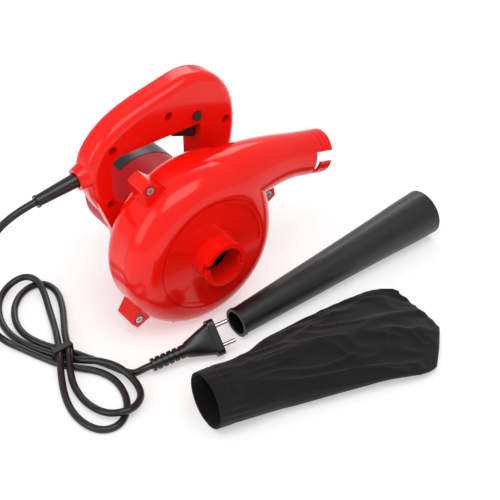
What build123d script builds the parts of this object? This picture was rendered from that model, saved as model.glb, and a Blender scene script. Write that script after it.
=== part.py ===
from build123d import *
import os
from math import atan2, cos, degrees, pi, radians, sin, tan

# Hand-held mains blower: a scroll fan case in two halves, a motor barrel behind
# it, a loop handle in two halves, a tapered nozzle, a cloth bag and a mains lead.
# Millimetres. +Z is up, the fan axis lies along Y and the intake faces -Y.
# The origin is on the floor, below the fan axis, in the case's parting plane.

# ---- driving dimensions -----------------------------------------------------
fan_z = 80.0              # height of the fan axis above the floor
wall = 2.5                # moulded wall of the casings
fit = 0.2                 # gap between parts that slip together
run_fit = 0.04            # radial gap of a running shaft
seat_gap = 0.05           # radial gap around a seated screw, pin or bearing
air_gap = 0.6             # armature to stator

case_front = 35.0         # parting plane to the flat front of the scroll
case_back = 24.0          # parting plane to the flat back of the scroll
front_round = 23.0        # big round of the front half
back_round = 17.0         # round of the rear half
scroll_radius = 76.5      # first quarter of the scroll
scroll_drop = 79.0        # fan axis to the lowest point of the scroll
scroll_right = 74.0       # fan axis to the right side of the scroll
grow_bottom = 1.5         # growth of the radius at the bottom
grow_left = 4.0           # growth of the radius at the left

duct_end_x = 147.4        # centre of the outlet mouth
duct_end_z = 109.6
duct_droop = 15.0         # degrees that the outlet points down
duct_radius = 20.8        # outside of the outlet
duct_wall = 2.2
duct_straight = 30.0      # straight end that the nozzle slips over
slot_depth = 19.0         # bayonet slot, from the mouth
slot_wide = 10.0
slot_leg = 6.0            # width of its turned leg

collar_radius = 21.5      # intake collar, outside
collar_bore = 16.9
collar_reach = 53.0       # parting plane to the collar's rim
pad_half = 32.0           # half length of the flat standing pad
pad_front = 12.0          # its reach in front of the parting plane
groove_radius = 55.0      # ring groove on the front
sector_inner = 23.0       # sunk sectors on the front
sector_outer = 51.0
sector_deep = 1.3

ears = [(-47.5, 78.0), (-68.0, -56.0), (79.5, 16.0)]
ear_tip = 7.0             # screw centre to the ear's outer end
ear_front = 12.0
ear_back = 10.0
screw_r = 2.0
head_r = 4.2
head_h = 2.4

barrel_radius = 45.0      # motor housing
barrel_end = 98.0
cap_end = 113.0
plate_thick = 3.0         # front bearing plate
bracket_y = 96.0          # rear bearing bracket
shaft_r = 4.0
bearing_r = 11.0
bearing_w = 7.0
boss_wall = 3.0           # wall around a bearing
fan_blade_r = 56.0
fan_back = 10.0           # rear face of the impeller's disc
fan_front = -20.0         # front edge of its blades
fan_blades = 8
winding_room = 14.0       # stator ring to the armature's core
core_front = 50.0
core_back = 76.0
stator_wall = 6.3
core_r = barrel_radius - wall - fit - stator_wall - winding_room
comm_r = 11.0
comm_front = 84.0
comm_back = 94.0

frame_front = 34.0        # handle frame: front face
frame_thick = 10.0        # its lower plate
handle_part = 48.0        # parting plane of the two handle halves
handle_back = 62.0
handle_wall = 3.0
handle_round = 9.0
handle_holes = [(5.0, 187.0), (66.5, 160.0), (-53.0, 175.5), (-59.0, 122.0)]
boss_r = 5.1
recess_r = 4.1            # screw recesses in the handle
hscrew_r = 1.5
hhead_r = 2.9
hhead_h = 2.2
frame_bosses = [180, 0, -90]   # degrees around the fan axis
frame_boss_at = barrel_radius + 7
frame_boss_r = 5.5
foot_half = 36.0
foot_height = 5.0
grip_under = 167.5        # underside of the grip

pivot_x = 42.5            # trigger pivot
pivot_z = 170.0
trigger_width = 14.0
pin_r = 2.0
button_x = 34.5           # lock button
button_z = 176.5
button_r = 4.8
button_neck = 3.6         # its inner end, which clears the trigger
button_travel = 3.0
spring_post_r = 1.6
plunger_x = 19.5          # switch plunger
plunger_r = 2.0

cord_d = 6.5              # sheath of the mains lead
relief_x = -84.0          # outer face of the cord boss
relief_z = 151.4
relief_droop = 6.9
relief_len = 40.0
relief_r = 7.0
relief_tip_r = 5.0
relief_flange = 8.6

nozzle_tip = Vector(4.1, -60.5, 14.25)
nozzle_end = Vector(243.6, -54.0, 23.5)
nozzle_tip_r = 14.2
nozzle_wall = 1.9
quarter_r = 15.4          # its outside, a quarter and half of the way along
middle_r = 17.6
socket_len = 33.0

bag_mouth = Vector(-81.6, -131.0, 0)
bag_turn = -5.4           # degrees of the bag's length from +X
bag_wall = 2.0
cuff_len = 15.0

os.makedirs("parts", exist_ok=True)


def facing(y):
    """Plane at depth y that looks towards -Y: local x is X, local y is Z."""
    return Plane(origin=(0, y, 0), x_dir=(1, 0, 0), z_dir=(0, -1, 0))


def on_axis(y):
    """The same plane with its origin on the fan axis."""
    return Plane(origin=(0, y, fan_z), x_dir=(1, 0, 0), z_dir=(0, -1, 0))


def save(piece, name):
    piece.part.label = name
    export_step(piece.part, "parts/" + name + ".step")


def polar(r, angle):
    return (r * cos(radians(angle)), r * sin(radians(angle)))


def screw(at, y_head, y_tip, r, big_r, high):
    """Pan-head cross-recess screw along Y, head towards -Y, in the open builder."""
    with BuildSketch(facing(y_tip)) as shank:
        with Locations(at):
            Circle(r)
    extrude(shank.sketch, amount=y_tip - y_head)
    with BuildSketch(facing(y_head)) as head:
        with Locations(at):
            Circle(big_r)
    extrude(head.sketch, amount=high, taper=14)
    with BuildSketch(facing(y_head - high)) as recess:
        with Locations(at):
            Rectangle(big_r, big_r / 4)
            Rectangle(big_r / 4, big_r)
    extrude(recess.sketch, amount=-high / 2, mode=Mode.SUBTRACT)


# ---- scroll case ------------------------------------------------------------
duct_dir = Vector(cos(radians(duct_droop)), 0, -sin(radians(duct_droop)))
duct_end = Vector(duct_end_x, 0, duct_end_z)
duct_start = duct_end - duct_dir * duct_straight


def duct_section(centre, droop, half_wide, half_high):
    """Ellipse across the air stream at one station of the duct."""
    way = (cos(radians(droop)), 0, -sin(radians(droop)))
    with BuildSketch(Plane(origin=centre, x_dir=(0, 1, 0), z_dir=way)) as section:
        Ellipse(half_wide, half_high)
    return section.sketch


def duct(inset, extra):
    """Duct from inside the scroll to its round straight end."""
    half = (case_front + case_back) / 2 - 1.75
    centre_y = (case_back - case_front) / 2 + 0.75
    root = duct_section((1.5, centre_y, fan_z + 49), 0, half - inset, 31 - inset)
    shoulder = duct_section((48, centre_y, fan_z + 48), 5, half - inset, 30 - inset)
    middle = duct_section((88, -1.5, fan_z + 44), 12.5, 23 - inset, 24 - inset)
    tail = duct_section(duct_start, duct_droop, duct_radius - inset, duct_radius - inset)
    with BuildPart() as body:
        loft([root.faces()[0], shoulder.faces()[0], middle.faces()[0], tail.faces()[0]])
        with BuildSketch(Plane(origin=duct_start, x_dir=(0, 1, 0), z_dir=duct_dir)):
            Circle(duct_radius - inset)
        extrude(amount=duct_straight + extra)
    return body.part


def casing(inset, extra):
    """Solid shape of the scroll and its duct, shrunk by inset."""
    r1 = scroll_radius - inset
    r2 = r1 + grow_bottom
    r3 = r2 + grow_left
    c1 = Vector(scroll_right - scroll_radius, scroll_radius - scroll_drop)
    c2 = c1 + Vector(0, grow_bottom)
    c3 = c2 + Vector(grow_left, 0)
    spout = duct(inset, extra)
    with BuildPart() as body:
        with BuildSketch(on_axis(case_back - inset)):
            with BuildLine():
                CenterArc(c1, r1, -90, 90)
                CenterArc(c2, r2, 180, 90)
                CenterArc(c3, r3, 90, 90)
                Spline(c3 + Vector(0, r3), c1 + Vector(r1, 0), tangents=[(1, 0), (0, -1)])
            make_face()
        extrude(amount=case_back + case_front - 2 * inset)
        fillet(body.faces().sort_by(Axis.Y)[0].edges(), front_round - inset)
        fillet(body.faces().sort_by(Axis.Y)[-1].edges(), back_round - inset)
        add(spout)
    return body.part


def ear_blocks(y_near, y_far):
    """Ears of one half: a wedge at each screw that widens towards the scroll's wall."""
    for x, z in ears:
        with BuildSketch() as wedge:
            with BuildLine():
                Polyline((ear_tip, -5.5), (ear_tip, 5.5), (-3, 8.5), (-15, 12.5), (-15, -12.5),
                         (-3, -8.5), close=True)
            make_face()
            fillet(wedge.vertices().group_by(Axis.X)[-1], 2.5)
        with BuildSketch(on_axis(y_far)) as ear:
            with Locations(Location((x, z), degrees(atan2(z, x)))):
                add(wedge.sketch)
        extrude(ear.sketch, amount=y_far - y_near)


def ear_holes(r, y_near, y_far):
    with BuildSketch(on_axis(y_far)) as holes:
        with Locations(*ears):
            Circle(r)
    extrude(holes.sketch, amount=y_far - y_near, mode=Mode.SUBTRACT)


case_skin = casing(0, 0)
case_room = casing(wall, 5)
slot_frame = Plane(origin=duct_end, x_dir=(0, 1, 0), z_dir=duct_dir)


def bayonet_slots():
    """Two L-shaped slots, half a turn apart, cut through the outlet's wall."""
    for turn in (0, 180):
        start = 180 + turn - 14
        with BuildSketch(slot_frame.offset(-slot_depth)) as entry:
            with Locations(polar(duct_radius, start)):
                Rectangle(2 * wall + 6, slot_wide, rotation=start)
        extrude(entry.sketch, amount=slot_depth + 1, mode=Mode.SUBTRACT)
        with BuildSketch(slot_frame.offset(-slot_depth)) as leg:
            with BuildLine():
                CenterArc((0, 0), duct_radius + 2, start, 46)
                CenterArc((0, 0), duct_radius - 5, start, 46)
                Line(polar(duct_radius - 5, start), polar(duct_radius + 2, start))
                Line(polar(duct_radius - 5, start + 46), polar(duct_radius + 2, start + 46))
            make_face()
        extrude(leg.sketch, amount=slot_leg, mode=Mode.SUBTRACT)


def outlet_grooves():
    """Two fine rings near the mouth."""
    for back in (6.5, 12.0):
        with BuildSketch(slot_frame.offset(-back)) as ring:
            Circle(duct_radius + 1)
            Circle(duct_radius - 0.4, mode=Mode.SUBTRACT)
        extrude(ring.sketch, amount=-0.8, mode=Mode.SUBTRACT)


with BuildPart() as front_volute:
    add(case_skin)
    split(bisect_by=facing(0), keep=Keep.TOP)
    ear_blocks(-ear_front, 0)
    with BuildSketch(Plane.XY):
        with Locations((0, -pad_front / 2)):
            Rectangle(2 * pad_half, pad_front)
    extrude(amount=12)
    with BuildSketch(on_axis(-case_front + wall)):
        Circle(collar_radius)
    extrude(amount=collar_reach - case_front + wall)
    add(case_room, mode=Mode.SUBTRACT)
    with BuildSketch(on_axis(-case_front + 2 * wall)):
        Circle(collar_bore)
    extrude(amount=collar_reach, mode=Mode.SUBTRACT)
    ear_holes(screw_r + 0.3, -ear_front, 0)
    ear_holes(head_r + 0.3, -ear_front, head_h - ear_front)
    with BuildSketch(on_axis(-case_front)):
        Circle(groove_radius + 0.8)
        Circle(groove_radius - 0.8, mode=Mode.SUBTRACT)
    extrude(amount=-sector_deep, mode=Mode.SUBTRACT)
    for first, sweep_angle in ((-8, 83), (151, 104)):
        with BuildSketch(on_axis(-case_front)):
            with BuildLine():
                CenterArc((0, 0), sector_outer, first, sweep_angle)
                CenterArc((0, 0), sector_inner, first, sweep_angle)
                Line(polar(sector_inner, first), polar(sector_outer, first))
                last = first + sweep_angle
                Line(polar(sector_inner, last), polar(sector_outer, last))
            make_face()
        extrude(amount=-sector_deep, mode=Mode.SUBTRACT)
    # hooked notches in the collar's rim
    for turn in (165, -15):
        with BuildSketch(on_axis(-collar_reach)):
            with Locations(polar((collar_radius + collar_bore) / 2, turn)):
                Rectangle(8, 5, rotation=turn)
        extrude(amount=-6, mode=Mode.SUBTRACT)
        with BuildSketch(on_axis(-collar_reach + 3.5)):
            with Locations(polar((collar_radius + collar_bore) / 2, turn + 12)):
                Rectangle(8, 7, rotation=turn + 12)
        extrude(amount=-2.5, mode=Mode.SUBTRACT)
    # upright key rib inside the collar
    with BuildSketch(on_axis(-case_front + wall)):
        with Locations(polar(collar_bore - 0.4, 40)):
            Rectangle(2.4, 2, rotation=40)
    extrude(amount=collar_reach - case_front + wall - 2)
    bayonet_slots()
    outlet_grooves()
save(front_volute, "front_volute")

plate_screw_at = [(barrel_radius - 11, a) for a in (90, 210, 330)]

with BuildPart() as rear_volute:
    add(case_skin)
    split(bisect_by=facing(0), keep=Keep.BOTTOM)
    ear_blocks(0, ear_back)
    with BuildSketch(Plane.XY):
        with Locations((0, case_back / 2)):
            Rectangle(2 * pad_half, case_back)
    extrude(amount=12)
    add(case_room, mode=Mode.SUBTRACT)
    # bosses that carry the bearing plate and the handle frame
    for r, a in plate_screw_at:
        with BuildSketch(on_axis(case_back)):
            with Locations(polar(r, a)):
                Circle(4.5)
        extrude(amount=8)
    for a in frame_bosses:
        with BuildSketch(on_axis(frame_front)):
            with Locations(polar(frame_boss_at, a)):
                Circle(frame_boss_r)
        extrude(amount=frame_front - case_back + wall / 2)
    with BuildSketch(on_axis(case_back)):
        Circle(shaft_r + 5)
        for r, a in plate_screw_at:
            with Locations(polar(r, a)):
                Circle(screw_r + seat_gap)
    extrude(amount=10, mode=Mode.SUBTRACT)
    for a in frame_bosses:
        with BuildSketch(on_axis(frame_front)):
            with Locations(polar(frame_boss_at, a)):
                Circle(screw_r + seat_gap)
        extrude(amount=9, mode=Mode.SUBTRACT)
    ear_holes(screw_r + seat_gap, 0, ear_back - 1)
    bayonet_slots()
    outlet_grooves()
save(rear_volute, "rear_volute")

with BuildPart() as volute_screws:
    for x, z in ears:
        screw((x, z + fan_z), head_h - ear_front, ear_back - 2, screw_r, head_r, head_h)
save(volute_screws, "volute_screws")

# ---- motor ------------------------------------------------------------------
inner_r = barrel_radius - wall
with BuildPart() as motor_housing:
    with BuildSketch(on_axis(barrel_end)):
        Circle(barrel_radius)
        Circle(inner_r, mode=Mode.SUBTRACT)
    extrude(amount=barrel_end - case_back)
save(motor_housing, "motor_housing")

plate_back = case_back + plate_thick
front_bearing_y = plate_back + bearing_w + 1
with BuildPart() as bearing_plate:
    with BuildSketch(on_axis(plate_back)):
        Circle(inner_r - fit)
    extrude(amount=plate_thick)
    with BuildSketch(on_axis(front_bearing_y)):
        Circle(bearing_r + boss_wall)
    extrude(amount=front_bearing_y - plate_back)
    with BuildSketch(on_axis(front_bearing_y)):
        Circle(bearing_r + seat_gap)
    extrude(amount=bearing_w, mode=Mode.SUBTRACT)
    with BuildSketch(on_axis(plate_back + 1)):
        Circle(shaft_r + 2)
        for r, a in plate_screw_at:
            with Locations(polar(r, a)):
                Circle(screw_r + 0.3)
    extrude(amount=plate_thick + 1, mode=Mode.SUBTRACT)
    with BuildSketch(on_axis(plate_back)):
        with PolarLocations(25, 3, start_angle=30):
            Circle(7)
    extrude(amount=plate_thick, mode=Mode.SUBTRACT)
save(bearing_plate, "bearing_plate")

with BuildPart() as plate_screws:
    for r, a in plate_screw_at:
        x, z = polar(r, a)
        with BuildSketch(on_axis(plate_back)):
            with Locations((x, z)):
                Circle(screw_r)
        extrude(amount=plate_thick + 6)
        with BuildSketch(on_axis(plate_back + head_h)):
            with Locations((x, z)):
                Circle(head_r)
        extrude(amount=head_h)
save(plate_screws, "plate_screws")


def bearing(y_back):
    """Ball bearing as one ring with a step between its races."""
    with BuildPart() as ring:
        with BuildSketch(on_axis(y_back)):
            Circle(bearing_r)
            Circle(shaft_r + run_fit, mode=Mode.SUBTRACT)
        extrude(amount=bearing_w)
        with BuildSketch(on_axis(y_back)):
            Circle(bearing_r - 2)
            Circle(shaft_r + 2, mode=Mode.SUBTRACT)
        extrude(amount=0.5, mode=Mode.SUBTRACT)
    return ring


front_bearing = bearing(front_bearing_y)
save(front_bearing, "front_bearing")

rear_bearing_y = bracket_y + plate_thick + 1 + bearing_w
rear_bearing = bearing(rear_bearing_y)
save(rear_bearing, "rear_bearing")

cap_screw_at = [(barrel_radius - 12, a) for a in (90, -90)]
with BuildPart() as rear_bracket:
    with BuildSketch(on_axis(bracket_y + plate_thick)):
        Circle(inner_r - fit)
    extrude(amount=plate_thick)
    with BuildSketch(on_axis(rear_bearing_y)):
        Circle(bearing_r + boss_wall)
    extrude(amount=rear_bearing_y - bracket_y - plate_thick)
    with BuildSketch(on_axis(rear_bearing_y)):
        Circle(bearing_r + seat_gap)
    extrude(amount=bearing_w, mode=Mode.SUBTRACT)
    with BuildSketch(on_axis(rear_bearing_y)):
        Circle(shaft_r + 2)
        for r, a in cap_screw_at:
            with Locations(polar(r, a)):
                Circle(screw_r + seat_gap)
    extrude(amount=rear_bearing_y - bracket_y, mode=Mode.SUBTRACT)
    with BuildSketch(on_axis(bracket_y + plate_thick)):
        with PolarLocations(27, 4, start_angle=0):
            SlotOverall(18, 10, rotation=90)
    extrude(amount=plate_thick, mode=Mode.SUBTRACT)
save(rear_bracket, "rear_bracket")

cap_round = 9.0
with BuildPart() as cap_room:
    with BuildSketch(on_axis(cap_end - wall)):
        Circle(inner_r)
    extrude(amount=cap_end - wall - barrel_end)
    fillet(cap_room.faces().sort_by(Axis.Y)[-1].edges(), cap_round - wall)

with BuildPart() as rear_cap:
    with BuildSketch(on_axis(cap_end)):
        Circle(barrel_radius)
    extrude(amount=cap_end - barrel_end)
    fillet(rear_cap.faces().sort_by(Axis.Y)[-1].edges(), cap_round)
    add(cap_room.part, mode=Mode.SUBTRACT)
    for r, a in cap_screw_at:
        with BuildSketch(on_axis(cap_end - wall)):
            with Locations(polar(r, a)):
                Circle(5)
        extrude(amount=cap_end - wall - bracket_y - plate_thick)
    for r, a in cap_screw_at:
        with BuildSketch(on_axis(cap_end)):
            with Locations(polar(r, a)):
                Circle(head_r + 0.4)
        extrude(amount=4, mode=Mode.SUBTRACT)
        with BuildSketch(on_axis(cap_end)):
            with Locations(polar(r, a)):
                Circle(screw_r + 0.3)
        extrude(amount=cap_end - barrel_end, mode=Mode.SUBTRACT)
    # cooling air slots
    with BuildSketch(on_axis(cap_end)):
        for row in (-16, -9.6, -3.2, 3.2, 9.6, 16):
            with Locations((0, row)):
                SlotOverall(2 * (25 ** 2 - row ** 2) ** 0.5, 3)
    extrude(amount=wall, mode=Mode.SUBTRACT)
save(rear_cap, "rear_cap")

with BuildPart() as cap_screws:
    for r, a in cap_screw_at:
        x, z = polar(r, a)
        head_y = cap_end - 4
        with BuildSketch(on_axis(head_y)):
            with Locations((x, z)):
                Circle(screw_r)
        extrude(amount=head_y - bracket_y)
        with BuildSketch(on_axis(head_y + head_h)):
            with Locations((x, z)):
                Circle(head_r)
        extrude(amount=head_h)
save(cap_screws, "cap_screws")

label_front = 76.0
label_back = 95.0
with BuildPart() as label_band:
    with BuildSketch(on_axis(label_back)):
        with BuildLine():
            outer = barrel_radius + 0.45
            CenterArc((0, 0), outer, 40, 81)
            CenterArc((0, 0), barrel_radius, 40, 81)
            Line(polar(barrel_radius, 40), polar(outer, 40))
            Line(polar(barrel_radius, 121), polar(outer, 121))
        make_face()
    extrude(amount=label_back - label_front)
save(label_band, "label_band")

stator_r = inner_r - fit
pole_r = core_r + air_gap
pole_reach = stator_r - stator_wall
neck_half = 12.0
with BuildPart() as stator_core:
    with BuildSketch(on_axis(core_back)):
        Circle(stator_r)
        Circle(pole_reach, mode=Mode.SUBTRACT)
        with Locations(((pole_r + pole_reach) / 2 + 0.7, 0), (-(pole_r + pole_reach) / 2 - 0.7, 0)):
            Rectangle(pole_reach - pole_r + 0.6, 2 * neck_half)
        for side in (0, 180):
            with BuildLine():
                CenterArc((0, 0), pole_r, side - 52, 104)
                CenterArc((0, 0), pole_r + 3, side - 52, 104)
                Line(polar(pole_r, side - 52), polar(pole_r + 3, side - 52))
                Line(polar(pole_r, side + 52), polar(pole_r + 3, side + 52))
            make_face()
        Circle(pole_r, mode=Mode.SUBTRACT)
    extrude(amount=core_back - core_front)
save(stator_core, "stator_core")

coil_in = pole_r + 3 + fit
coil_out = coil_in + 3.6
coil_half = (pole_reach ** 2 - coil_out ** 2) ** 0.5 - 0.4
coil_end = 7.0            # coil past the core at each end
core_mid = (core_front + core_back) / 2
core_len = core_back - core_front
with BuildPart() as field_coils:
    for side in (-1, 1):
        level = Plane(origin=(side * coil_in, core_mid, fan_z), x_dir=(0, 1, 0), z_dir=(side, 0, 0))
        with BuildSketch(level):
            RectangleRounded(core_len + 2 * coil_end, 2 * coil_half, 6)
            RectangleRounded(core_len + 2 * fit, 2 * (neck_half + fit), 0.15, mode=Mode.SUBTRACT)
        extrude(amount=coil_out - coil_in)
save(field_coils, "field_coils")

with BuildPart() as motor_shaft:
    shaft_end = rear_bearing_y + 0.5
    with BuildSketch(on_axis(shaft_end)):
        Circle(shaft_r)
    extrude(amount=shaft_end - fan_front + 4)
    chamfer(motor_shaft.faces().sort_by(Axis.Y)[0].edges(), 0.6)
save(motor_shaft, "motor_shaft")

hub_r = 10.0
blade_thick = 2.0
with BuildSketch() as blade_shape:
    with BuildLine():
        RadiusArc(polar(21, 0), polar(fan_blade_r - 1, -32), 46)
        RadiusArc(polar(21, blade_thick * 5), polar(fan_blade_r - 1, blade_thick - 32), 46)
        Line(polar(21, 0), polar(21, blade_thick * 5))
        Line(polar(fan_blade_r - 1, -32), polar(fan_blade_r - 1, blade_thick - 32))
    make_face()
with BuildPart() as impeller:
    with BuildSketch(on_axis(fan_back)):
        Circle(fan_blade_r)
    extrude(amount=wall)
    with BuildSketch(on_axis(fan_back)):
        Circle(hub_r)
    extrude(amount=fan_back - fan_front - 6)
    with BuildSketch(on_axis(fan_back - wall)):
        with PolarLocations(0, fan_blades):
            add(blade_shape.sketch)
    extrude(amount=fan_back - wall - fan_front)
    with BuildSketch(on_axis(fan_back)):
        Circle(shaft_r + seat_gap)
    extrude(amount=fan_back - fan_front, mode=Mode.SUBTRACT)
save(impeller, "impeller")

nut_back = fan_front + 6
with BuildPart() as impeller_nut:
    with BuildSketch(on_axis(nut_back)):
        Circle(8)
        Circle(shaft_r + seat_gap, mode=Mode.SUBTRACT)
    extrude(amount=1.2)
    with BuildSketch(on_axis(nut_back - 1.2)):
        RegularPolygon(6.5, 6, major_radius=False)
        Circle(shaft_r + seat_gap, mode=Mode.SUBTRACT)
    extrude(amount=5)
save(impeller_nut, "impeller_nut")

with BuildPart() as cooling_fan:
    fan_b = front_bearing_y + 6
    with BuildSketch(on_axis(fan_b)):
        Circle(hub_r)
        Circle(36)
    extrude(amount=1.2)
    with BuildSketch(on_axis(fan_b - 1.2)):
        with PolarLocations(23, 9):
            Rectangle(26, 1.4)
    extrude(amount=3)
    with BuildSketch(on_axis(fan_b)):
        Circle(shaft_r + seat_gap)
    extrude(amount=6, mode=Mode.SUBTRACT)
save(cooling_fan, "cooling_fan")

with BuildPart() as armature_core:
    with BuildSketch(on_axis(core_back)):
        Circle(core_r)
        Circle(shaft_r + seat_gap, mode=Mode.SUBTRACT)
        with PolarLocations(core_r - 3.5, 12):
            Rectangle(9, 2.4, mode=Mode.SUBTRACT)
    extrude(amount=core_len)
save(armature_core, "armature_core")

with BuildPart() as armature_windings:
    for y in (core_front, core_back + 5.5):
        with BuildSketch(on_axis(y)):
            Circle(core_r - 3)
            Circle(shaft_r + 2, mode=Mode.SUBTRACT)
        extrude(amount=5.5)
save(armature_windings, "armature_windings")

with BuildPart() as commutator:
    with BuildSketch(on_axis(comm_back)):
        Circle(comm_r)
        Circle(shaft_r + seat_gap, mode=Mode.SUBTRACT)
        with PolarLocations(comm_r, 24):
            Rectangle(1.6, 0.5, mode=Mode.SUBTRACT)
    extrude(amount=comm_back - comm_front)
save(commutator, "commutator")

brush_in = comm_r + 0.15
brush_len = 11.0
holder_in = comm_r + 1.5
holder_out = 36.0
brush_w = 6.4
brush_t = 8.0
brush_y = (comm_front + comm_back) / 2
with BuildPart() as brush_holders:
    for side in (-1, 1):
        level = Plane(origin=(0, brush_y, fan_z + side * holder_in), x_dir=(1, 0, 0), z_dir=(0, 0, side))
        with BuildSketch(level):
            Rectangle(brush_w + 3, 2 * (bracket_y - brush_y))
            Rectangle(brush_w + fit, brush_t + fit, mode=Mode.SUBTRACT)
        extrude(amount=holder_out - holder_in)
        with BuildSketch(level.offset(holder_out - holder_in)):
            Rectangle(brush_w + 3, 2 * (bracket_y - brush_y))
        extrude(amount=1)
save(brush_holders, "brush_holders")

with BuildPart() as carbon_brushes:
    for side in (-1, 1):
        level = Plane(origin=(0, brush_y, fan_z + side * brush_in), x_dir=(1, 0, 0), z_dir=(0, 0, side))
        with BuildSketch(level):
            Rectangle(brush_w, brush_t)
        extrude(amount=brush_len)
save(carbon_brushes, "carbon_brushes")


def coil_spring(base, way, r, wire, turns, length):
    """Helical wire spring from base along way, in the open builder."""
    rise = length - 2 * wire
    with BuildLine():
        path = Helix(pitch=rise / turns, height=rise, radius=r, center=base, direction=way)
    with BuildSketch(Plane(origin=path @ 0, z_dir=path % 0)) as section:
        Circle(wire)
    sweep(section.sketch, path=path, is_frenet=True)


spring_start = brush_in + brush_len
with BuildPart() as brush_springs:
    for side in (-1, 1):
        base = Vector(0, brush_y, fan_z + side * (spring_start + 0.6))
        coil_spring(base, (0, 0, side), 2.3, 0.3, 5, holder_out - spring_start - 0.4)
save(brush_springs, "brush_springs")

# ---- handle -----------------------------------------------------------------
loop_outline = [(-66, 112), (-77, 140), (-77, 165), (-62, 186), (-41.5, 199), (8, 213),
                (36, 216.5), (57, 208), (72, 190), (78.5, 165), (70, 112)]

with BuildSketch() as loop_shape:
    with BuildLine():
        rim = Spline(loop_outline)
        Line(rim @ 1, rim @ 0)
    make_face()

with BuildSketch() as window_shape:
    with BuildLine():
        Polyline((-56.5, grip_under), (38, grip_under), (38, 105), (-34, 105), (-56.5, 127), close=True)
    make_face()
    fillet(window_shape.vertices().group_by(Axis.X)[0], 11)
    fillet(window_shape.vertices().sort_by(Axis.X)[-1:], 2)



def inside_rim(t):
    """Point a wall's thickness inside the loop's outline."""
    along = rim % t
    return rim @ t + Vector(along.Y, -along.X) * handle_wall


with BuildSketch() as cavity_shape:
    with BuildLine():
        lining = Spline([inside_rim(k / 16) for k in range(17)])
        Line(lining @ 1, lining @ 0)
    make_face()
    offset(window_shape.sketch, amount=handle_wall, mode=Mode.SUBTRACT)
    with Locations((0, loop_outline[0][1])):
        Rectangle(200, 2 * handle_wall, mode=Mode.SUBTRACT)
    with Locations((0, fan_z)):
        Circle(barrel_radius + handle_wall, mode=Mode.SUBTRACT)

relief_dir = Vector(-cos(radians(relief_droop)), 0, -sin(radians(relief_droop)))
relief_at = Vector(relief_x, handle_part, relief_z)
relief_plane = Plane(origin=relief_at, x_dir=(0, 1, 0), z_dir=relief_dir)
clamp_posts = [(-67.0, 144.5), (-67.0, 161.0)]
clamp_screw_r = 1.1
slot_half = trigger_width / 2 + 1
pivot_boss = handle_part - trigger_width / 2 - 3.4
post_top = handle_part + cord_d / 2

with BuildPart() as handle_body:
    with BuildSketch(facing(handle_back)):
        add(loop_shape.sketch)
    extrude(amount=handle_back - frame_front)
    for face in (handle_body.faces().sort_by(Axis.Y)[0], handle_body.faces().sort_by(Axis.Y)[-1]):
        fillet(face.edges().sort_by(Edge.length)[-1:], handle_round)
    with BuildSketch(facing(frame_front + frame_thick)):
        with BuildLine():
            side = frame_boss_at + frame_boss_r
            Polyline((-72, 128), (-side, 86), (-side, 60), (-foot_half, 12), (-foot_half, 0),
                     (foot_half, 0), (foot_half, 12), (side, 60), (side + 1, 86), (72, 128), close=True)
        make_face()
    extrude(amount=frame_thick)
    with BuildSketch(relief_plane):
        Circle(10)
    extrude(amount=-11, taper=-18)
    with BuildSketch(facing(handle_back)):
        add(window_shape.sketch)
        with Locations((0, fan_z)):
            Circle(barrel_radius + fit)
    extrude(amount=handle_back - frame_front, mode=Mode.SUBTRACT)
    with BuildSketch(facing(handle_back - handle_wall)):
        add(cavity_shape.sketch)
    extrude(amount=handle_back - frame_front - 2 * handle_wall, mode=Mode.SUBTRACT)
    # screw columns, pivot bosses and clamp posts
    with BuildSketch(facing(handle_back - handle_wall)):
        with Locations(*handle_holes):
            Circle(boss_r)
    extrude(amount=handle_back - frame_front - 2 * handle_wall)
    for y_far, deep in ((pivot_boss, pivot_boss - frame_front - handle_wall),
                        (handle_back - handle_wall, handle_back - handle_wall - handle_part - slot_half)):
        with BuildSketch(facing(y_far)):
            with Locations((pivot_x, pivot_z)):
                Circle(pin_r + 2)
        extrude(amount=deep)
    # slot for the trigger, through the grip's underside and the corner
    with BuildSketch(facing(handle_part + slot_half)):
        with BuildLine():
            Polyline((10.5, grip_under - 2), (10.5, grip_under + handle_wall + 0.5),
                     (pivot_x + 5, grip_under + handle_wall + 0.5), (pivot_x + 5, grip_under - 4),
                     (37, grip_under - 4), (37, grip_under - 2), close=True)
        make_face()
    extrude(amount=2 * slot_half, mode=Mode.SUBTRACT)
    # way of the cord through the boss
    with BuildSketch(relief_plane):
        Circle(relief_r + fit)
    extrude(amount=-16, mode=Mode.SUBTRACT)
    # frame screws
    for a in frame_bosses:
        with BuildSketch(on_axis(frame_front + frame_thick)):
            with Locations(polar(frame_boss_at, a)):
                Circle(screw_r + 0.3)
        extrude(amount=frame_thick, mode=Mode.SUBTRACT)
    with BuildSketch(facing(handle_back - handle_wall)):
        with Locations((pivot_x, pivot_z)):
            Circle(pin_r + seat_gap)
    extrude(amount=handle_back - frame_front - 2 * handle_wall, mode=Mode.SUBTRACT)

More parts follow.
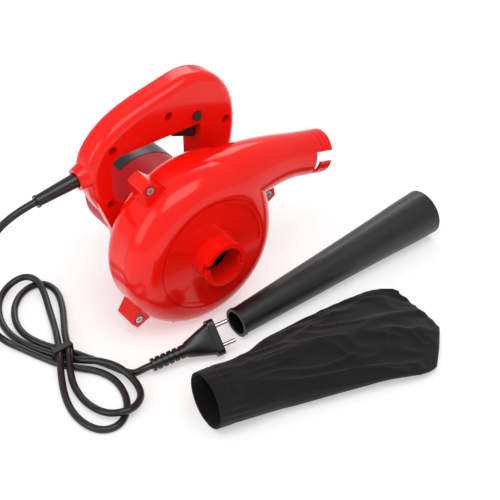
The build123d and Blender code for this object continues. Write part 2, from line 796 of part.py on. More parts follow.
with BuildPart() as handle_front:
    add(handle_body.part)
    with Locations((0, handle_part + 100, 100)):
        Box(600, 200, 600, mode=Mode.SUBTRACT)
    with BuildSketch(Plane.XY):
        with Locations((0, (frame_front + handle_back) / 2)):
            Rectangle(2 * foot_half, handle_back - frame_front)
    extrude(amount=foot_height)
    # pocket for the trigger's spring
    with BuildSketch(facing(handle_part - slot_half + 0.1)):
        with Locations((pivot_x, pivot_z)):
            Circle(pin_r + 2)
            Circle(pin_r + seat_gap, mode=Mode.SUBTRACT)
    extrude(amount=handle_part - slot_half + 0.1 - pivot_boss, mode=Mode.SUBTRACT)
    with BuildSketch(facing(post_top)):
        with Locations(*clamp_posts):
            Circle(2.6)
            Circle(clamp_screw_r + seat_gap, mode=Mode.SUBTRACT)
    extrude(amount=post_top - frame_front - handle_wall)
    # raised ring around the lock button, then its D-shaped hole
    with BuildSketch(facing(frame_front)):
        with Locations((button_x, button_z)):
            Circle(button_r + 2.2)
    extrude(amount=0.6)
    with BuildSketch(facing(frame_front + handle_wall)):
        with Locations((button_x, button_z)):
            Circle(button_r + fit)
            with Locations((button_r, 0)):
                Rectangle(1.6, 12, mode=Mode.SUBTRACT)
    extrude(amount=handle_wall + 1, mode=Mode.SUBTRACT)
    with BuildSketch(facing(frame_front + 9)):
        with Locations(*handle_holes):
            Circle(recess_r)
    extrude(amount=9, mode=Mode.SUBTRACT)
    with BuildSketch(facing(handle_part)):
        with Locations(*handle_holes):
            Circle(hscrew_r + 0.3)
    extrude(amount=handle_part - frame_front, mode=Mode.SUBTRACT)
save(handle_front, "handle_front")

with BuildPart() as handle_rear:
    add(handle_body.part)
    with Locations((0, handle_part - 100, 100)):
        Box(600, 200, 600, mode=Mode.SUBTRACT)
    # post that holds the lock button's spring
    with BuildSketch(facing(handle_back - handle_wall)):
        with Locations((button_x, button_z)):
            Circle(spring_post_r)
    extrude(amount=handle_back - handle_wall - handle_part)
    with BuildSketch(facing(handle_back - handle_wall)):
        with Locations(*handle_holes):
            Circle(hscrew_r + seat_gap)
    extrude(amount=handle_back - handle_wall - handle_part, mode=Mode.SUBTRACT)
save(handle_rear, "handle_rear")

with BuildPart() as handle_screws:
    for at in handle_holes:
        screw(at, frame_front + 9, handle_back - handle_wall - 1, hscrew_r, hhead_r, hhead_h)
save(handle_screws, "handle_screws")

with BuildPart() as frame_screws:
    for a in frame_bosses:
        x, z = polar(frame_boss_at, a)
        with BuildSketch(on_axis(frame_front + frame_thick)):
            with Locations((x, z)):
                Circle(screw_r)
        extrude(amount=frame_thick + 8)
        with BuildSketch(on_axis(frame_front + frame_thick + head_h)):
            with Locations((x, z)):
                Circle(head_r)
        extrude(amount=head_h)
save(frame_screws, "frame_screws")


# ---- trigger, switch and lock button ----------------------------------------
trigger_top = grip_under + 3
lobe_half = trigger_width / 2
with BuildPart() as trigger:
    with BuildSketch(facing(handle_part + lobe_half)):
        with BuildLine():
            Polyline((12.2, 160), (12.6, 163.5), (14, trigger_top), (22.5, trigger_top),
                     (24, trigger_top - 2), (pivot_x, trigger_top - 2), (pivot_x, grip_under - 1), (37.2, grip_under - 3.6), (37.2, grip_under - 18),
                     (27, grip_under - 13.5), close=True)
        make_face()
    extrude(amount=trigger_width)
    fillet(trigger.edges().filter_by(Axis.Y).group_by(Axis.Z)[0], 2)
    with BuildSketch(facing(handle_part + lobe_half)):
        with Locations((pivot_x, pivot_z)):
            Circle(pin_r + 2)
    extrude(amount=trigger_width)
    with BuildSketch(facing(handle_part + lobe_half)):
        with Locations((pivot_x, pivot_z)):
            Circle(pin_r + run_fit)
    extrude(amount=trigger_width, mode=Mode.SUBTRACT)
save(trigger, "trigger")

plunger_top = trigger_top + 8
with BuildPart() as switch_plunger:
    with BuildSketch(Plane(origin=(plunger_x, handle_part, trigger_top))):
        Circle(plunger_r)
    extrude(amount=plunger_top - trigger_top)
save(switch_plunger, "switch_plunger")

with BuildPart() as trigger_pin:
    pin_end = handle_back - handle_wall - 0.1
    with BuildSketch(facing(pin_end)):
        with Locations((pivot_x, pivot_z)):
            Circle(pin_r)
    extrude(amount=pin_end - frame_front - handle_wall - 0.1)
save(trigger_pin, "trigger_pin")

switch_low = trigger_top + 5.5
switch_x = 19.5
with BuildPart() as switch_body:
    with BuildSketch(Plane(origin=(switch_x, handle_part, switch_low))):
        Rectangle(17, handle_back - frame_front - 2 * handle_wall)
    extrude(amount=16)
    with BuildSketch(Plane(origin=(plunger_x, handle_part, switch_low))):
        Circle(plunger_r + 1.6)
    extrude(amount=9, mode=Mode.SUBTRACT)
save(switch_body, "switch_body")

button_out = frame_front - 2.0
button_in = frame_front + handle_wall
with BuildPart() as lock_button:
    with BuildSketch(facing(button_in + 1)):
        with Locations((button_x, button_z)):
            Circle(button_r)
            with Locations((button_r - fit, 0)):
                Rectangle(1.6, 12, mode=Mode.SUBTRACT)
    extrude(amount=button_in + 1 - button_out)
    # flange behind the wall, flat below so that it passes over the trigger
    with BuildSketch(facing(button_in + 2.1)):
        with Locations((button_x, button_z)):
            Circle(button_r + 0.9)
            with Locations((0, -button_neck - 5)):
                Rectangle(20, 10, mode=Mode.SUBTRACT)
    extrude(amount=2)
    with BuildSketch(facing(button_in + 8)):
        with Locations((button_x, button_z)):
            Circle(button_neck)
    extrude(amount=8)
    with BuildSketch(facing(button_in + 8)):
        with Locations((button_x, button_z)):
            Circle(2.9)
    extrude(amount=6, mode=Mode.SUBTRACT)
save(lock_button, "lock_button")

spring_front = button_in + 2 + button_travel + 0.1
spring_back = handle_back - handle_wall - 0.05
with BuildPart() as lock_spring:
    coil_spring((button_x, spring_front + 0.3, button_z), (0, 1, 0), 2.2, 0.3, 6, spring_back - spring_front)
save(lock_spring, "lock_spring")

with BuildPart() as trigger_spring:
    coil_spring((pivot_x, pivot_boss + 0.45, pivot_z), (0, 1, 0), 2.9, 0.35, 3, 3.2)
save(trigger_spring, "trigger_spring")

# ---- mains lead -------------------------------------------------------------
lead_tip = relief_at + relief_dir * relief_len
with BuildPart() as strain_relief:
    with BuildSketch(relief_plane.offset(-12)):
        Circle(relief_r)
    with BuildSketch(relief_plane.offset(relief_len)):
        Circle(relief_tip_r)
    loft()
    with BuildSketch(relief_plane.offset(relief_len - 2)):
        Circle(relief_tip_r + 0.8)
    extrude(amount=2)
    with BuildSketch(relief_plane.offset(-13.2)):
        Circle(relief_flange)
    extrude(amount=1.8)
    with BuildSketch(relief_plane.offset(-20)):
        Circle(cord_d / 2 + seat_gap)
    extrude(amount=relief_len + 17, mode=Mode.SUBTRACT)
save(strain_relief, "strain_relief")

with BuildPart() as cord_tail:
    with BuildSketch(relief_plane.offset(relief_len - 3)):
        Circle(cord_d / 2)
    extrude(amount=-relief_len - 18)
save(cord_tail, "cord_tail")

with BuildPart() as cord_clamp:
    clamp_mid = (clamp_posts[0][1] + clamp_posts[1][1]) / 2
    clamp_len = clamp_posts[1][1] - clamp_posts[0][1] + 6
    with BuildSketch(facing(post_top + 3)):
        with Locations((clamp_posts[0][0], clamp_mid)):
            RectangleRounded(6, clamp_len, 2)
        with Locations(*clamp_posts):
            Circle(clamp_screw_r + seat_gap, mode=Mode.SUBTRACT)
    extrude(amount=3)
save(cord_clamp, "cord_clamp")

with BuildPart() as clamp_screws:
    with BuildSketch(facing(post_top + 3)):
        with Locations(*clamp_posts):
            Circle(clamp_screw_r)
    extrude(amount=11)
    with BuildSketch(facing(post_top + 4.4)):
        with Locations(*clamp_posts):
            Circle(2.1)
    extrude(amount=1.4)
save(clamp_screws, "clamp_screws")


def tube(points, radii, r):
    """Round tube along straight runs joined by tangent arcs."""
    with BuildPart() as run:
        with BuildLine():
            way = FilletPolyline(*points, radius=radii)
        with BuildSketch(Plane(origin=way @ 0, z_dir=way % 0)):
            Circle(r)
        sweep()
    length = way.length
    print("tube radii", [round(v, 1) for v in radii], "length", round(length, 1),
          "volume ratio", round(run.part.volume / (pi * r * r * length), 4))
    return run


def bend_radii(points, share):
    """Arc radius at each inner corner from the shorter of its two runs."""
    radii = []
    for before, at, after in zip(points, points[1:], points[2:]):
        a = Vector(*at) - Vector(*before)
        b = Vector(*after) - Vector(*at)
        half = radians(a.get_angle(b)) / 2
        radii.append(share * min(a.length, b.length) / tan(half))
    return radii


wire_r = 1.0
wire_way = [(-61.95, 152), (-61.95, 163), (-66.5, 171.5), (-60, 179), (-50, 184.5), (-20, 180.5),
            (switch_x - 8.6, 179.5)]
with BuildPart() as supply_wires:
    for side in (-1, 1):
        level = handle_part + side * 1.6
        add(tube([(x, level, z) for x, z in wire_way], [8, 5.5, 12, 12, 30], wire_r).part)
save(supply_wires, "supply_wires")

exit_point = tuple(lead_tip + relief_dir * 0.1)
hang = [exit_point, tuple(lead_tip + relief_dir * 26), (-171, 53, 122), (-184, 62, 96), (-187, 69, 68),
        (-184.5, 68.9, 42.9), (-175.5, 61.7, 22.7), (-160.1, 47.8, 8.9), (-136.6, 24.7, 5.4)]
power_cord = tube(hang, bend_radii(hang, 0.42), cord_d / 2)
save(power_cord, "power_cord")

# ---- mains plug -------------------------------------------------------------
plug_tail = Vector(-84, -54, 9.5)
plug_front = Vector(-21, -67, 17.5)
plug_dir = (plug_front - plug_tail).normalized()
plug_len = (plug_front - plug_tail).length
plug_roll = -45.0
plug_side = plug_dir.cross(Vector(0, 0, 1)).normalized()
plug_up = plug_side.cross(plug_dir)
plug_wide = plug_side * cos(radians(plug_roll)) + plug_up * sin(radians(plug_roll))
plug_plane = Plane(origin=plug_tail, x_dir=plug_wide, z_dir=plug_dir)
pin_apart = 18.6
plug_pin_r = 2.0
pin_out = 13.0
with BuildPart() as plug_body:
    with BuildSketch(plug_plane):
        Circle(6)
    extrude(amount=34)
    with BuildSketch(plug_plane.offset(33)):
        Ellipse(7, 6)
    with BuildSketch(plug_plane.offset(plug_len - 7)):
        RectangleRounded(30, 12, 5)
    loft()
    with BuildSketch(plug_plane.offset(plug_len - 7)):
        RectangleRounded(34, 14, 5)
    extrude(amount=7)
    for k in range(5):
        with BuildSketch(plug_plane.offset(3 + 5.5 * k)):
            Circle(7)
            Circle(4.6, mode=Mode.SUBTRACT)
        extrude(amount=2, mode=Mode.SUBTRACT)
    with BuildSketch(plug_plane):
        Circle(cord_d / 2 + seat_gap)
    extrude(amount=20, mode=Mode.SUBTRACT)
    with BuildSketch(plug_plane.offset(plug_len)):
        with GridLocations(pin_apart, 0, 2, 1):
            Circle(plug_pin_r + seat_gap)
    extrude(amount=-11, mode=Mode.SUBTRACT)
save(plug_body, "plug_body")

with BuildPart() as plug_pins:
    with BuildSketch(plug_plane.offset(plug_len - 11)):
        with GridLocations(pin_apart, 0, 2, 1):
            Circle(plug_pin_r)
    extrude(amount=11 + pin_out)
    fillet(plug_pins.edges().filter_by(GeomType.CIRCLE), 0.6)
save(plug_pins, "plug_pins")

plug_bore_end = tuple(plug_tail + plug_dir * 20)
lead_path = [(-111, -50, 6.5), tuple(plug_tail - plug_dir * 4), plug_bore_end]
cord_lead = tube(lead_path, [34.0], cord_d / 2)
save(cord_lead, "cord_lead")

# ---- tied bundle of the lead ---------------------------------------------------
bundle_high = 15.0
bundle_upper = [(-136, 20), (-161, 46), (-160, 86), (-136, 116), (-108, 124), (-94, 104), (-101, 64), (-120, 34)]
bundle_lower = [(-136, 2), (-152, -10), (-166, -34), (-170, -66), (-156, -90), (-136, -95), (-114, -84),
                (-103, -60), (-110, -34), (-126, -10)]
with BuildPart() as cord_bundle:
    with BuildSketch(Plane.XY):
        with BuildLine():
            Spline(bundle_upper, periodic=True)
        make_face()
        with BuildLine():
            Spline(bundle_lower, periodic=True)
        make_face()
        with Locations((-136, 10)):
            Rectangle(20, 26)
    extrude(amount=bundle_high)
    with BuildSketch(Plane.XY):
        with Locations((-136, 10)):
            RectangleRounded(40, 7, 0.5)
    extrude(amount=bundle_high, mode=Mode.SUBTRACT)
    with BuildSketch(Plane.XY.offset(2)):
        with Locations((-136, 10)):
            Rectangle(16, 8)
    extrude(amount=bundle_high - 4)
    add(power_cord.part, mode=Mode.SUBTRACT)
    add(cord_lead.part, mode=Mode.SUBTRACT)
save(cord_bundle, "cord_bundle")

with BuildPart() as cord_tie:
    with BuildSketch(Plane(origin=(-136, 10, 0), x_dir=(1, 0, 0), z_dir=(0, 1, 0))):
        with Locations((0, -bundle_high / 2)):
            Rectangle(19, bundle_high - 0.4)
            Rectangle(16.2, bundle_high - 3.8, mode=Mode.SUBTRACT)
    extrude(amount=3, both=True)
save(cord_tie, "cord_tie")

# ---- nozzle -----------------------------------------------------------------
nozzle_dir = (nozzle_end - nozzle_tip).normalized()
nozzle_length = (nozzle_end - nozzle_tip).length
nozzle_plane = Plane(origin=nozzle_tip, x_dir=nozzle_dir, z_dir=nozzle_dir.cross(Vector(0, 0, 1)))
socket_r = duct_radius + 2 * fit
seat_r = duct_radius + fit
lead_in = 12.0            # wider mouth of the socket
socket_outer = socket_r + nozzle_wall
flow_r = nozzle_tip_r - 1.1 - nozzle_wall
body_len = nozzle_length - socket_len
with BuildPart() as nozzle:
    with BuildSketch(nozzle_plane):
        with BuildLine():
            outer = Spline((3, nozzle_tip_r - 1.1), (nozzle_length * 0.25, quarter_r),
                           (nozzle_length * 0.5, middle_r), (body_len, socket_outer - 1.2))
            Polyline(outer @ 1, (nozzle_length, socket_outer), (nozzle_length, socket_r),
                     (nozzle_length - lead_in, socket_r), (nozzle_length - lead_in, seat_r),
                     (body_len, seat_r), (body_len, seat_r - 3))
            inner = Spline((body_len, seat_r - 3), (nozzle_length * 0.5, middle_r - nozzle_wall),
                           (nozzle_length * 0.25, quarter_r - nozzle_wall), (3, flow_r))
            Polyline(inner @ 1, (0, flow_r), (0, nozzle_tip_r), (3, nozzle_tip_r), outer @ 0)
        make_face()
    revolve(axis=Axis(nozzle_tip, nozzle_dir))
    lug_plane = Plane(origin=nozzle_end, x_dir=(0, 1, 0), z_dir=nozzle_dir)
    with BuildSketch(lug_plane.offset(-slot_depth + 0.5)):
        with PolarLocations(seat_r - 0.9, 2, start_angle=40):
            Rectangle(2.2, 6)
    extrude(amount=slot_leg - 1)
save(nozzle, "nozzle")

# ---- dust bag ---------------------------------------------------------------
bag_frame = Plane(origin=bag_mouth, x_dir=(cos(radians(bag_turn)), sin(radians(bag_turn)), 0), z_dir=(0, 0, 1))
bag_sections = [(0, 25.5, 27.5), (cuff_len, 27, 26), (40, 31, 23), (110, 43, 18), (175, 51, 13), (217, 49, 9),
                (228, 43, 6)]


def bag_section(s, half_wide, half_high, inset):
    """Flattened oval across the bag at one station, resting on the floor."""
    centre = bag_frame.from_local_coords(Vector(s, 0, half_high))
    plane = Plane(origin=centre, x_dir=bag_frame.y_dir, z_dir=bag_frame.x_dir)
    with BuildSketch(plane) as section:
        Ellipse(half_wide - inset, half_high - inset)
    return section.sketch.faces()[0]


def bag_shape(stations, inset):
    sections = [bag_section(s, a, b, inset) for s, a, b in stations]
    with BuildPart() as shape:
        loft(sections)
    return shape.part


bag_skin = bag_shape(bag_sections, 0)
bag_room = bag_shape(bag_sections[:-1], bag_wall)
cuff_cut = Plane(origin=bag_frame.from_local_coords(Vector(cuff_len, 0, 0)), z_dir=bag_frame.x_dir)
with BuildPart() as whole_bag:
    add(bag_skin)
    add(bag_room, mode=Mode.SUBTRACT)

with BuildPart() as dust_bag:
    add(whole_bag.part)
    split(bisect_by=cuff_cut, keep=Keep.TOP)
save(dust_bag, "dust_bag")

with BuildPart() as bag_cuff:
    add(whole_bag.part)
    split(bisect_by=cuff_cut, keep=Keep.BOTTOM)
save(bag_cuff, "bag_cuff")
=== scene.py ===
import bpy
import bmesh
from math import cos, exp, pi, radians, sin
from mathutils import Matrix, Vector, noise


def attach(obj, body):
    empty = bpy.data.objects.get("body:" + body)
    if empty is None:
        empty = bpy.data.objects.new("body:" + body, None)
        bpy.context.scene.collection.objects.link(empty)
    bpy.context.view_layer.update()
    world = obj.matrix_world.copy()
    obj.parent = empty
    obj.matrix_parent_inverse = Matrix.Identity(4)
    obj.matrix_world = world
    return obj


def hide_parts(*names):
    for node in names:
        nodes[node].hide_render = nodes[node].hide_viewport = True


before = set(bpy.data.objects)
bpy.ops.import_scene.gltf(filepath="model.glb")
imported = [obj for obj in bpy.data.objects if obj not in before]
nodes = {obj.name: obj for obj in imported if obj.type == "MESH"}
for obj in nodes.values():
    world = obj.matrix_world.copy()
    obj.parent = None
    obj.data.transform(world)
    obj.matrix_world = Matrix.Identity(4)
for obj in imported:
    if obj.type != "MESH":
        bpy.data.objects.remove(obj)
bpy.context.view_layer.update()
scene = bpy.context.scene
scene.view_settings.view_transform = "Standard"


# ---- Camera ------------------------------------------------------------------
# A long studio lens that looks down on the set from the front left, from a
# little more than a metre away.
lens = bpy.data.cameras.new("studio_camera")
lens.sensor_width = 36
lens.lens = 87.84
camera = bpy.data.objects.new("studio_camera", lens)
scene.collection.objects.link(camera)
turn, tilt = radians(-38), radians(39.5)
right = Vector((cos(turn), sin(turn), 0))
ahead = Vector((-sin(turn) * cos(tilt), cos(turn) * cos(tilt), -sin(tilt)))
above = right.cross(ahead)
stand = Matrix.Translation((-0.4847, -0.7066, 0.7677))
camera.matrix_world = stand @ Matrix((right, above, -ahead)).transposed().to_4x4()
scene.camera = camera


# ---- Scroll case and handle --------------------------------------------------
# Two halves of the scroll and two of the loop handle: bright red ABS, injection
# moulded in polished tools and screwed together. It is glossy all over, with
# the slow ripple that moulded walls show.
def linear(hexa):
    """A colour in sRGB hex, as the linear one that a socket takes."""
    steps = [int(hexa[k:k + 2], 16) / 255 for k in (0, 2, 4)]
    return [c / 12.92 if c < 0.04045 else ((c + 0.055) / 1.055) ** 2.4 for c in steps] + [1]


def add(tree, kind, settings=None, **links):
    """A new node with its settings, the stops of its colour ramp, and its links."""
    node = tree.nodes.new("ShaderNode" + kind)
    for name, value in (settings or {}).items():
        if name == "stops":
            for stop, (at, colour) in zip(node.color_ramp.elements, value):
                stop.position = at
                stop.color = colour
        elif hasattr(node, name):
            setattr(node, name, value)
        else:
            node.inputs[name].default_value = value
    for name, source in links.items():
        tree.links.new(source, node.inputs[name.replace("_", " ")])
    return node


def finish_of(name, colour, roughness, **more):
    """A new material with its even values set on the shader's own sockets."""
    material = bpy.data.materials.new(name)
    material.use_nodes = True
    shader = material.node_tree.nodes["Principled BSDF"]
    shader.inputs["Base Color"].default_value = linear(colour)
    shader.inputs["Roughness"].default_value = roughness
    for key, value in more.items():
        shader.inputs[key.replace("_", " ")].default_value = value
    return material, material.node_tree, shader


def wear(name, colour, other, roughness, spread, grain, height, **more):
    """A finish whose colour and gloss drift, with a fine grain.

    The size of the drift, and the size and height of the grain, are in metres.
    """
    material, tree, shader = finish_of(name, colour, roughness, **more)
    place = add(tree, "TexCoord").outputs["Object"]
    drift = add(tree, "TexNoise", {"Scale": 1 / spread, "Detail": 3.0}, Vector=place).outputs["Fac"]
    tint = add(tree, "ValToRGB", {"stops": [(0.3, linear(colour)), (0.7, linear(other))]}, Fac=drift)
    tree.links.new(tint.outputs["Color"], shader.inputs["Base Color"])
    gloss = add(tree, "MapRange", {"From Min": 0.3, "From Max": 0.7, "To Min": roughness * 0.85,
                                   "To Max": roughness * 1.2}, Value=drift)
    tree.links.new(gloss.outputs["Result"], shader.inputs["Roughness"])
    fine = add(tree, "TexNoise", {"Scale": 1 / grain, "Detail": 2.0}, Vector=place).outputs["Fac"]
    bump = add(tree, "Bump", {"Strength": 0.3, "Distance": height}, Height=fine)
    tree.links.new(bump.outputs["Normal"], shader.inputs["Normal"])
    return material


def paint(material, *names):
    for name in names:
        mesh = nodes[name].data
        mesh.materials.clear()
        mesh.materials.append(material)


red_abs = wear("moulded_red_abs", "EC1407", "E40F05", 0.17, 0.05, 0.012, 0.0001,
               Specular_IOR_Level=0.24, Coat_Weight=0.2, Coat_Roughness=0.03)
paint(red_abs, "front_volute", "rear_volute", "handle_front", "handle_rear")


# ---- Motor housing -----------------------------------------------------------
# Round barrel with a slotted rear cap, moulded in the same ABS from another
# batch and screwed together. It is a little deeper in colour, and satin.
deep_abs = wear("moulded_deep_red_abs", "C40A20", "B8081C", 0.4, 0.04, 0.01, 0.0001,
                Specular_IOR_Level=0.15)
paint(deep_abs, "motor_housing", "rear_cap")


# ---- Rating band -------------------------------------------------------------
# A strip of black film, stuck round the top of the barrel and left blank. Its
# face is satin.
film = wear("printed_black_film", "141416", "1B1B1E", 0.35, 0.02, 0.0015, 0.00003, IOR=1.5)
paint(film, "label_band")


# ---- Screws, springs and pins ------------------------------------------------
# Cold headed screws, wound springs, the trigger's pin and the impeller's nut.
# All are zinc plated steel, bright and slightly uneven.
plated = wear("zinc_plated_steel", "C9CACC", "AEB0B4", 0.24, 0.004, 0.0008, 0.00004, Metallic=1.0)
paint(plated, "volute_screws", "handle_screws", "frame_screws", "cap_screws", "plate_screws", "clamp_screws",
      "brush_springs", "trigger_pin", "trigger_spring", "lock_spring", "impeller_nut")


# ---- Motor parts -------------------------------------------------------------
# Cast alloy plate and bracket, ground steel shaft and bearings, a spun aluminium
# impeller, steel laminations, enamelled copper, brass and pressed carbon, built
# up along the shaft. Little of it shows from outside.
cast = wear("cast_aluminium", "A6A6A8", "8E8E92", 0.5, 0.01, 0.0012, 0.0001, Metallic=1.0)
paint(cast, "bearing_plate", "rear_bracket")
ground = wear("ground_steel", "B4B5B8", "9A9BA0", 0.22, 0.006, 0.0006, 0.00002, Metallic=1.0)
paint(ground, "motor_shaft", "front_bearing", "rear_bearing")
spun = wear("spun_aluminium", "C4C5C8", "B2B3B7", 0.34, 0.01, 0.001, 0.00005, Metallic=1.0)
paint(spun, "impeller")
copper = wear("enamelled_copper", "A85A2A", "7E3D1C", 0.35, 0.003, 0.0008, 0.0001, Metallic=0.8)
paint(copper, "field_coils", "armature_windings")
brass = wear("rolled_brass", "C8A04A", "A88238", 0.3, 0.004, 0.0008, 0.00003, Metallic=1.0)
paint(brass, "brush_holders", "commutator")
carbon = wear("pressed_carbon", "1A1A1B", "242425", 0.6, 0.003, 0.0005, 0.0001)
paint(carbon, "carbon_brushes")

# Sheets of steel 0.5 mm thick, stacked along the shaft. They are drawn as bands
# about 6 mm apart, so that they show.
core, core_tree, core_shader = finish_of("laminated_steel", "5A5B60", 0.42, Metallic=0.9)
core_place = add(core_tree, "TexCoord").outputs["Object"]
sheets = add(core_tree, "TexWave", {"bands_direction": "Y", "Scale": 50.0, "Distortion": 0.2},
             Vector=core_place)
sheet_bump = add(core_tree, "Bump", {"Strength": 0.6, "Distance": 0.0003}, Height=sheets.outputs["Fac"])
core_tree.links.new(sheet_bump.outputs["Normal"], core_shader.inputs["Normal"])
paint(core, "stator_core", "armature_core")


# ---- Trigger, lock button and switch -----------------------------------------
# Moulded pieces held between the handle's halves: black nylon with a fine
# spark-eroded texture, a grey phenolic switch and wires in red PVC. The cooling
# fan and the lead's clamp are the same nylon.
nylon = wear("spark_textured_nylon", "151516", "202022", 0.48, 0.012, 0.0009, 0.00012)
paint(nylon, "trigger", "lock_button", "switch_plunger", "cooling_fan", "cord_clamp")
phenolic = wear("grey_phenolic", "55565A", "4A4B50", 0.5, 0.01, 0.001, 0.0001)
paint(phenolic, "switch_body")
wire_skin = wear("red_wire_pvc", "8E2414", "7A1D10", 0.4, 0.01, 0.001, 0.00005)
paint(wire_skin, "supply_wires")


# ---- Mains lead --------------------------------------------------------------
# Round rubbery PVC sheath, 6.5 mm thick, extruded smooth with a soft shine. It
# hangs from the handle to the floor and lies in a tied figure of eight. The
# strain relief and the plug are moulded in the same PVC.
sheath = wear("extruded_black_pvc", "0E0E0F", "151516", 0.32, 0.03, 0.002, 0.00006, IOR=1.5)
paint(sheath, "cord_tail", "strain_relief", "plug_body")
hang = [(-123.7, 48, 146.6), (-149.5, 48, 143.5), (-171, 53, 122), (-184, 62, 96), (-187, 69, 68),
        (-184.5, 68.9, 42.9), (-178, 64, 21), (-170, 54.5, 7.5), (-161.5, 42, 3.6), (-155, 26, 3.4)]
lower_inner = [(-148.5, 11, 3.4), (-142.5, -1.5, 3.4), (-132, -14, 3.5), (-122, -26, 3.6), (-116.5, -41, 3.6),
               (-117, -57, 3.4), (-122, -72, 3.4), (-131, -84, 3.4), (-143, -91, 3.4), (-156, -88, 3.4),
               (-164, -76, 3.4), (-166.5, -56, 3.4), (-161.5, -34, 3.6), (-152, -13, 7.5)]
upper_outer = [(-145, -1, 10.5), (-138.5, 11, 10.6), (-131.5, 27, 10.4), (-123.5, 46, 6), (-115.5, 68, 3.6),
               (-107, 92, 6), (-105, 108, 10.4), (-113, 120, 10.2), (-130, 121, 6), (-147, 109, 3.6),
               (-158, 86, 3.4), (-160.5, 64, 3.4), (-156.5, 45, 3.4), (-149, 29, 3.4)]
lower_outer = [(-141, 14, 3.4), (-135, 3, 3.6), (-127, -9, 6.5), (-117, -22, 10.4), (-108, -39, 10.5),
               (-104.5, -57, 7), (-108, -74, 5.5), (-120, -85, 8.5), (-133, -87, 10.4), (-146, -76, 7),
               (-151.5, -53, 3.8), (-149.5, -30, 3.8), (-143, -13, 7.5)]
upper_inner = [(-136.5, -2, 10.5), (-130, 11, 10.6), (-123.5, 27, 10.4), (-112, 48, 5.5), (-101, 70, 3.6),
               (-95, 90, 3.4), (-99, 106, 3.4), (-112, 110, 3.4), (-128, 104, 3.4), (-142, 89, 3.4),
               (-150, 68, 3.4), (-149.5, 50, 3.4), (-143, 33, 3.4)]
to_plug = [(-135.5, 20, 3.4), (-127.5, 9, 3.4), (-119.5, -8, 3.4), (-111, -24, 3.4), (-104, -41, 3.4),
           (-99, -49, 4.6), (-92, -52.4, 8.5), (-84, -54, 9.5), (-72, -56.5, 11)]
route = hang + lower_inner + upper_outer + lower_outer + upper_inner + to_plug
line = bpy.data.curves.new("mains_lead", "CURVE")
line.dimensions = "3D"
line.bevel_depth = 0.00325
line.bevel_resolution = 6
line.resolution_u = 10
line.use_fill_caps = True
spline = line.splines.new("NURBS")
spline.points.add(len(route) - 1)
for point, (x, y, z) in zip(spline.points, route):
    point.co = (x / 1000, y / 1000, z / 1000, 1)
spline.order_u = 3
spline.use_endpoint_u = True
line.materials.append(sheath)
lead = bpy.data.objects.new("mains_lead", line)
scene.collection.objects.link(lead)
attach(lead, "blower")
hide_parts("power_cord", "cord_bundle", "cord_lead")
paint(nylon, "cord_tie")


# ---- Plug pins ---------------------------------------------------------------
# Two brass pins with rounded ends, turned, nickel plated and moulded into the
# plug. They have a bright, slightly warm shine.
nickel = wear("nickel_plated_brass", "D2D0CB", "BDBBB6", 0.2, 0.006, 0.0008, 0.00003, Metallic=1.0)
paint(nickel, "plug_pins")


# ---- Nozzle ------------------------------------------------------------------
# Tapered tube that pushes onto the outlet, moulded in one piece in black
# polypropylene. It is satin, with a broad soft shine, and lies loose here.
satin = wear("moulded_black_polypropylene", "0E0E0F", "141415", 0.38, 0.05, 0.0012, 0.00006, IOR=1.49)
paint(satin, "nozzle")


# ---- Dust bag ----------------------------------------------------------------
# Thin black woven polyester, sewn to a tube with a gathered cuff. It lies empty
# on the floor, so it is flat towards its closed end and creased along its length.
weave, weave_tree, weave_shader = finish_of("woven_black_polyester", "0F0F11", 0.85, Sheen_Weight=0.1,
                                            Sheen_Roughness=0.5, Specular_IOR_Level=0.2)

# Threads about 0.4 mm apart, drawn about 2 mm apart so that they show.
along_cloth = add(weave_tree, "TexCoord").outputs["UV"]
threads = []
for direction in ("X", "Y"):
    thread = add(weave_tree, "TexWave", {"bands_direction": direction, "Scale": 160.0, "Distortion": 0.4},
                 Vector=along_cloth)
    threads.append(thread.outputs["Fac"])
crossed = add(weave_tree, "Math", {"operation": "MULTIPLY"})
weave_tree.links.new(threads[0], crossed.inputs[0])
weave_tree.links.new(threads[1], crossed.inputs[1])
weave_bump = add(weave_tree, "Bump", {"Strength": 0.35, "Distance": 0.0003}, Height=crossed.outputs["Value"])
weave_tree.links.new(weave_bump.outputs["Normal"], weave_shader.inputs["Normal"])
cloth_place = add(weave_tree, "TexCoord").outputs["Object"]
fade = add(weave_tree, "TexNoise", {"Scale": 30.0, "Detail": 4.0}, Vector=cloth_place).outputs["Fac"]
fade_tint = add(weave_tree, "ValToRGB", {"stops": [(0.3, linear("0D0D0F")), (0.7, linear("151517"))]},
                Fac=fade)
weave_tree.links.new(fade_tint.outputs["Color"], weave_shader.inputs["Base Color"])

# Distance from the mouth, reach to the far side and to the near side, and half
# the height, in mm.
bag_rings = [(0, 25.2, 25.2, 27.2), (15, 26.8, 26.8, 25.4), (40, 29.5, 29, 22.4), (62, 32.5, 31.5, 20.6),
             (80, 40, 35.5, 18.8), (110, 45.5, 42, 17), (150, 49.5, 51, 14.4), (180, 52.5, 57, 12),
             (205, 54, 61, 9.8), (222, 52, 61, 7.8), (232, 47, 59, 6), (236, 42, 57, 4.6)]
bag_length = bag_rings[-1][0]
hem_at = 16          # stitched hem, from the mouth
slant_from = 150     # where the closed end starts to run slanted
slant_side = -20     # the end is square on the far side of this line
cloth_round = 0.22   # way around and along the cloth that the weave is laid on, in metres
cloth_long = 0.24
bag_at = Vector((-81.6, -131, 0))
bag_way = Vector((cos(radians(-5.4)), sin(radians(-5.4)), 0))
bag_side = Vector((-bag_way.y, bag_way.x, 0))


def ring_size(s):
    for before, after in zip(bag_rings, bag_rings[1:]):
        if s <= after[0]:
            t = (s - before[0]) / (after[0] - before[0])
            return [u + (v - u) * t for u, v in zip(before[1:], after[1:])]
    return bag_rings[-1][1:]


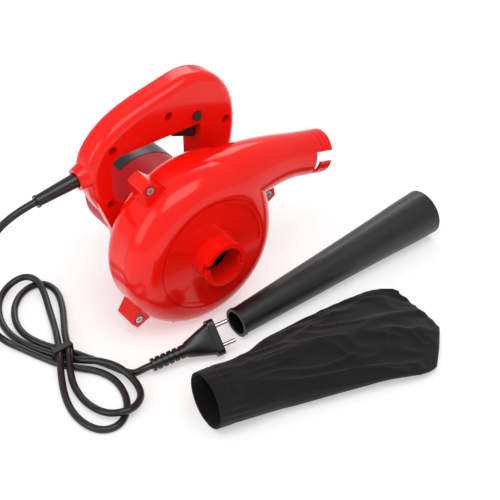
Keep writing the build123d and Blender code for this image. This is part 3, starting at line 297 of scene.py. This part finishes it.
def crease(u, v, seed):
    """Ridged noise: 0 on flat cloth, up to 1 on the crest of a fold."""
    return max(0, 1 - 3.4 * abs(noise.noise(Vector((u, v, seed))))) ** 1.6


def bag_point(s, angle):
    """A point of the lying bag: s mm from the mouth, angle around from its far side."""
    far, near, half_high = ring_size(s)
    loose = min(1, max(0, (s - 20) / 50))
    fan = angle * 1.5 + 0.35 * sin(s / 55)
    folds = 1.2 * crease(fan, s / 120, 3.1)
    folds += 0.7 * crease(fan * 1.7, s / 60, 8.7)
    folds += 0.6 * crease(fan * 0.7, s / 34, 5.2)
    sag = noise.noise(Vector((angle * 1.6, s / 60, 1.7)))
    gather = sin(angle * 22 + 2 * noise.noise(Vector((angle * 3, 0, 0)))) * 0.4 * exp(-abs(s - 17) / 12)
    hem = 0.9 * exp(-((s - hem_at) / 1.3) ** 2)
    lip = 0.9 * (1 + noise.noise(Vector((cos(angle) * 1.9, sin(angle) * 1.9, 6.3)))) * exp(-s / 12)
    shrink = 0.1 + gather + hem + lip + loose * (1.6 + 1.5 * sag)
    reach = far if cos(angle) > 0 else near
    y = (reach - shrink * 0.8) * cos(angle)
    if sin(angle) > 0:
        z = (half_high - shrink) * sin(angle) + sin(angle) ** 0.5 * loose * (3.2 * folds - 2)
    else:
        z = -(half_high - 0.35) * min(1, -sin(angle) * (1 + 0.45 * loose))
    if s > slant_from:
        share = (s - slant_from) / (bag_length - slant_from)
        corner = min(bag_length, bag_length - 0.9 * (slant_side - y))
        wave = 3 * noise.noise(Vector((y / 22, 4.4, 0))) * share
        s = slant_from + share * (corner - slant_from) + wave
    return bag_at + bag_way * s + bag_side * y + Vector((0, 0, max(0.7, half_high + z)))


bag_mesh = bpy.data.meshes.new("bag_cloth")
shaper = bmesh.new()
around, down = 170, 120
bmesh.ops.create_grid(shaper, x_segments=around, y_segments=down, size=0.5)
flat_map = shaper.loops.layers.uv.new("cloth")
for face in shaper.faces:
    for loop in face.loops:
        loop[flat_map].uv = ((loop.vert.co.x + 0.5) * cloth_round, (loop.vert.co.y + 0.5) * cloth_long)
for vert in shaper.verts:
    vert.co = bag_point((vert.co.y + 0.5) * bag_length, (vert.co.x + 0.5) * 2 * pi) / 1000
bmesh.ops.remove_doubles(shaper, verts=shaper.verts, dist=0.00002)
rim = [e for e in shaper.edges if e.is_boundary]
end_rim = [e for e in rim if (e.verts[0].co * 1000 - bag_at).dot(bag_way) > bag_length / 2]
bmesh.ops.holes_fill(shaper, edges=end_rim)
bmesh.ops.recalc_face_normals(shaper, faces=shaper.faces)
shaper.to_mesh(bag_mesh)
shaper.free()
bag_mesh.polygons.foreach_set("use_smooth", [True] * len(bag_mesh.polygons))
bag_mesh.materials.append(weave)
bag = bpy.data.objects.new("bag_cloth", bag_mesh)
scene.collection.objects.link(bag)
skin = bag.modifiers.new("thickness", "SOLIDIFY")
skin.thickness = 0.0006
skin.offset = -1
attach(bag, "dust_bag")
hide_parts("dust_bag", "bag_cuff")


# ---- Studio ------------------------------------------------------------------
# Pale paper floor, which glows a little so that it reads as white. Three large
# soft boxes light the set, and the air gives an even white fill.
floor_mesh = bpy.data.meshes.new("studio_floor")
plane = bmesh.new()
bmesh.ops.create_grid(plane, x_segments=1, y_segments=1, size=4)
plane.to_mesh(floor_mesh)
plane.free()
floor = bpy.data.objects.new("studio_floor", floor_mesh)
scene.collection.objects.link(floor)
paper = finish_of("white_paper", "CCCCCC", 0.95, Emission_Color=linear("FFFFFF"), Emission_Strength=0.42,
                  Specular_IOR_Level=0.1)[0]
floor_mesh.materials.append(paper)

world = bpy.data.worlds.new("studio_air")
scene.world = world
world.use_nodes = True
air = world.node_tree.nodes["Background"]
air.inputs["Color"].default_value = linear("FFFFFF")
air.inputs["Strength"].default_value = 0.62


def soft_box(name, at, toward, wide, high, power):
    lamp = bpy.data.lights.new(name, "AREA")
    lamp.shape = "RECTANGLE"
    lamp.size = wide
    lamp.size_y = high
    lamp.energy = power
    holder = bpy.data.objects.new(name, lamp)
    scene.collection.objects.link(holder)
    holder.location = at
    holder.rotation_euler = (Vector(toward) - Vector(at)).to_track_quat("-Z", "Y").to_euler()


soft_box("key_box", (-0.2, -0.6, 1.6), (0, 0, 0.05), 1.4, 1.0, 14)
soft_box("side_box", (-1.5, 0.1, 0.9), (0, 0, 0.1), 0.9, 1.2, 7)
soft_box("back_box", (0.9, 1.1, 1.1), (0, 0, 0.1), 1.0, 0.8, 7)
